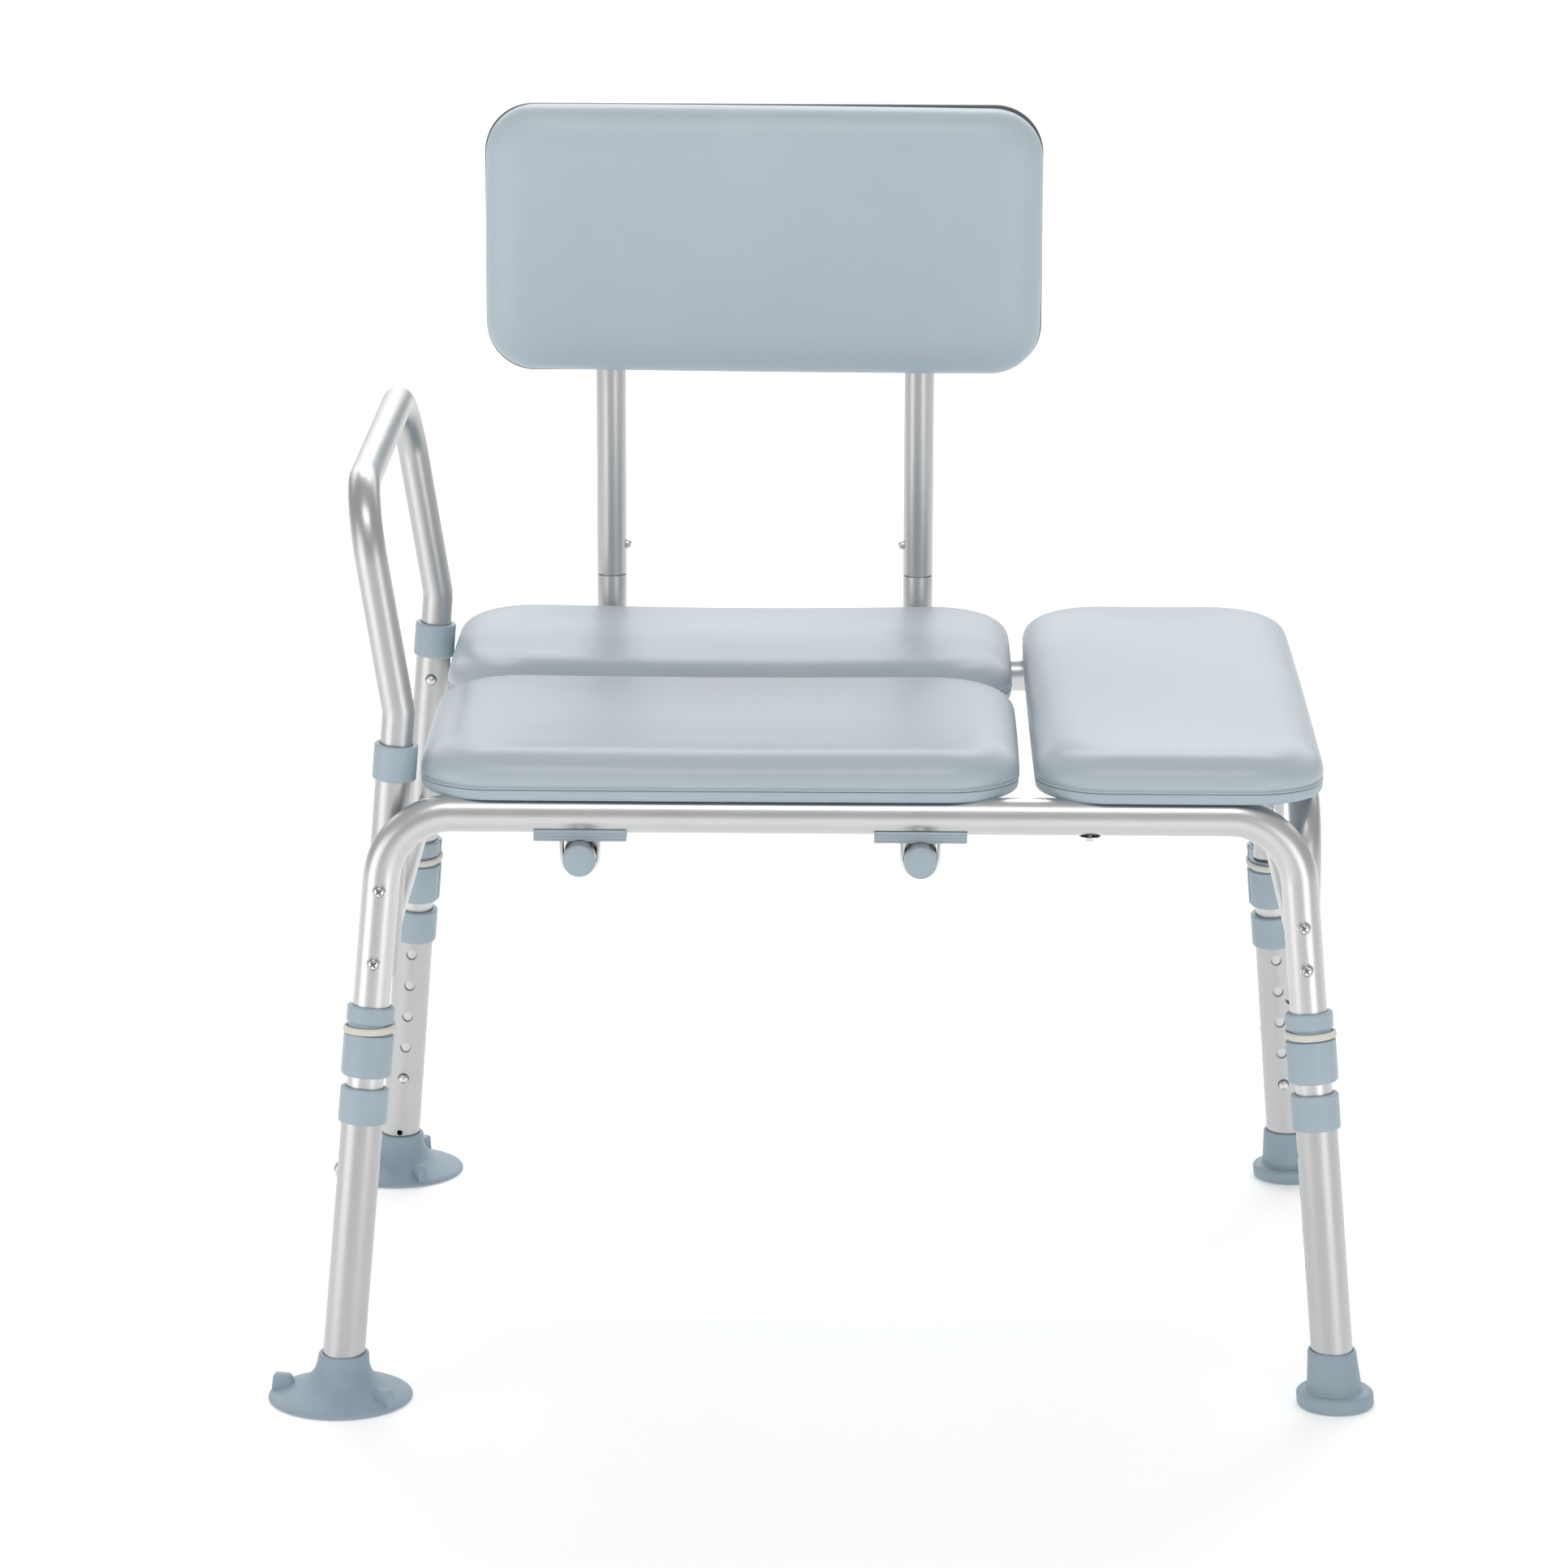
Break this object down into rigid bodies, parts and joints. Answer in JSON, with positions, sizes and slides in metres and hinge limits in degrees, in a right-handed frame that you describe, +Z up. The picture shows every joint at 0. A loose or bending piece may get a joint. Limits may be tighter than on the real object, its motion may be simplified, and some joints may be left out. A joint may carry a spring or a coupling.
{
  "type": "bath transfer bench",
  "caption": "Padded bath transfer bench with side seat extension, lift-out arm rail, lift-off back rest and push-button height-adjustable splayed legs with cups and tips",
  "frame": {"origin": "middle of the overall width and depth, on the floor", "axes": "+Z up, the bench faces -Y, the arm rail is on -X and the seat extension on +X"},
  "size_m": [0.7593, 0.6096, 0.8206],
  "materials": {
    "aluminium_tube": "satin anodised",
    "blue_grey_plastic": "satin",
    "cream_band": "matte elastic",
    "pad_board": "matt",
    "pad_vinyl": "soft satin vinyl",
    "foot_rubber": "matt",
    "bright_steel": "bright plated"
  },
  "bodies": {
    "frame": {"front_frame_tube": "aluminium_tube", "rear_frame_tube": "aluminium_tube", "side_hoop": "aluminium_tube", "lower_rail_left": "aluminium_tube", "lower_rail_right": "aluminium_tube", "arm_socket_front": "aluminium_tube", "arm_socket_rear": "aluminium_tube", "arm_socket_collar_front": "blue_grey_plastic", "arm_socket_collar_rear": "blue_grey_plastic", "leg_collar_front_left": "blue_grey_plastic", "leg_collar_front_right": "blue_grey_plastic", "leg_collar_rear_left": "blue_grey_plastic", "leg_collar_rear_right": "blue_grey_plastic", "leg_band_front_left": "cream_band", "leg_band_front_right": "cream_band", "leg_band_rear_left": "cream_band", "leg_band_rear_right": "cream_band", "seat_board_front": "pad_board", "seat_board_rear": "pad_board", "seat_board_side": "pad_board", "seat_pad_front": "pad_vinyl", "seat_pad_rear": "pad_vinyl", "seat_pad_side": "pad_vinyl", "back_saddle_front_left": "blue_grey_plastic", "back_saddle_front_right": "blue_grey_plastic", "back_saddle_rear_left": "blue_grey_plastic", "back_saddle_rear_right": "blue_grey_plastic", "back_support_left": "aluminium_tube", "back_support_right": "aluminium_tube", "back_support_cap_left": "blue_grey_plastic", "back_support_cap_right": "blue_grey_plastic", "frame_screw_front_left_upper": "bright_steel", "frame_screw_front_left_lower": "bright_steel", "frame_screw_front_right_upper": "bright_steel", "frame_screw_front_right_lower": "bright_steel"},
    "leg_front_left": {"leg_extension_front_left": "aluminium_tube", "leg_ring_front_left": "blue_grey_plastic", "suction_foot_front_left": "foot_rubber"},
    "leg_front_right": {"leg_extension_front_right": "aluminium_tube", "leg_ring_front_right": "blue_grey_plastic", "foot_tip_front_right": "foot_rubber"},
    "leg_rear_left": {"leg_extension_rear_left": "aluminium_tube", "leg_ring_rear_left": "blue_grey_plastic", "suction_foot_rear_left": "foot_rubber"},
    "leg_rear_right": {"leg_extension_rear_right": "aluminium_tube", "leg_ring_rear_right": "blue_grey_plastic", "foot_tip_rear_right": "foot_rubber"},
    "button_leg_front_left": {"leg_button_front_left": "bright_steel"},
    "button_leg_front_right": {"leg_button_front_right": "bright_steel"},
    "button_leg_rear_left": {"leg_button_rear_left": "bright_steel"},
    "button_leg_rear_right": {"leg_button_rear_right": "bright_steel"},
    "arm": {"arm_rail": "aluminium_tube"},
    "button_arm_front": {"arm_button_front": "bright_steel"},
    "button_arm_rear": {"arm_button_rear": "bright_steel"},
    "back_rest": {"back_post_left": "aluminium_tube", "back_post_right": "aluminium_tube", "back_board": "pad_board", "back_pad": "pad_vinyl"},
    "button_back_left": {"back_button_left": "bright_steel"},
    "button_back_right": {"back_button_right": "bright_steel"}
  },
  "joints": [
    {"name": "leg_height_front_left", "type": "slide", "parent": "frame", "child": "leg_front_left", "axis": [-0.0826, -0.1071, -0.9908], "range_m": [0, 0.1016]},
    {"name": "leg_height_front_right", "type": "slide", "parent": "frame", "child": "leg_front_right", "axis": [0.0826, -0.1071, -0.9908], "range_m": [0, 0.1016]},
    {"name": "leg_height_rear_left", "type": "slide", "parent": "frame", "child": "leg_rear_left", "axis": [-0.0826, 0.1071, -0.9908], "range_m": [0, 0.1016]},
    {"name": "leg_height_rear_right", "type": "slide", "parent": "frame", "child": "leg_rear_right", "axis": [0.0826, 0.1071, -0.9908], "range_m": [0, 0.1016]},
    {"name": "leg_button_press_front_left", "type": "slide", "parent": "leg_front_left", "child": "button_leg_front_left", "axis": [0.0089, -0.9942, 0.1067], "range_m": [0, 0.0025], "stiffness_N_per_m": 800, "springref_m": -0.002},
    {"name": "leg_button_press_front_right", "type": "slide", "parent": "leg_front_right", "child": "button_leg_front_right", "axis": [-0.0089, -0.9942, 0.1067], "range_m": [0, 0.0025], "stiffness_N_per_m": 800, "springref_m": -0.002},
    {"name": "leg_button_press_rear_left", "type": "slide", "parent": "leg_rear_left", "child": "button_leg_rear_left", "axis": [0.0089, 0.9942, 0.1067], "range_m": [0, 0.0025], "stiffness_N_per_m": 800, "springref_m": -0.002},
    {"name": "leg_button_press_rear_right", "type": "slide", "parent": "leg_rear_right", "child": "button_leg_rear_right", "axis": [-0.0089, 0.9942, 0.1067], "range_m": [0, 0.0025], "stiffness_N_per_m": 800, "springref_m": -0.002},
    {"name": "arm_lift_out", "type": "slide", "parent": "frame", "child": "arm", "axis": [0.0827, 0, 0.9966], "range_m": [0, 0.15]},
    {"name": "arm_button_press_front", "type": "slide", "parent": "frame", "child": "button_arm_front", "axis": [0, -1, 0], "range_m": [0, 0.0025], "stiffness_N_per_m": 800, "springref_m": -0.002},
    {"name": "arm_button_press_rear", "type": "slide", "parent": "frame", "child": "button_arm_rear", "axis": [0, 1, 0], "range_m": [0, 0.0025], "stiffness_N_per_m": 800, "springref_m": -0.002},
    {"name": "back_lift_off", "type": "slide", "parent": "frame", "child": "back_rest", "axis": [0, 0, 1], "range_m": [0, 0.15]},
    {"name": "back_button_press_left", "type": "slide", "parent": "back_rest", "child": "button_back_left", "axis": [-1, 0, 0], "range_m": [0, 0.0025], "stiffness_N_per_m": 800, "springref_m": -0.002},
    {"name": "back_button_press_right", "type": "slide", "parent": "back_rest", "child": "button_back_right", "axis": [1, 0, 0], "range_m": [0, 0.0025], "stiffness_N_per_m": 800, "springref_m": -0.002}
  ]
}
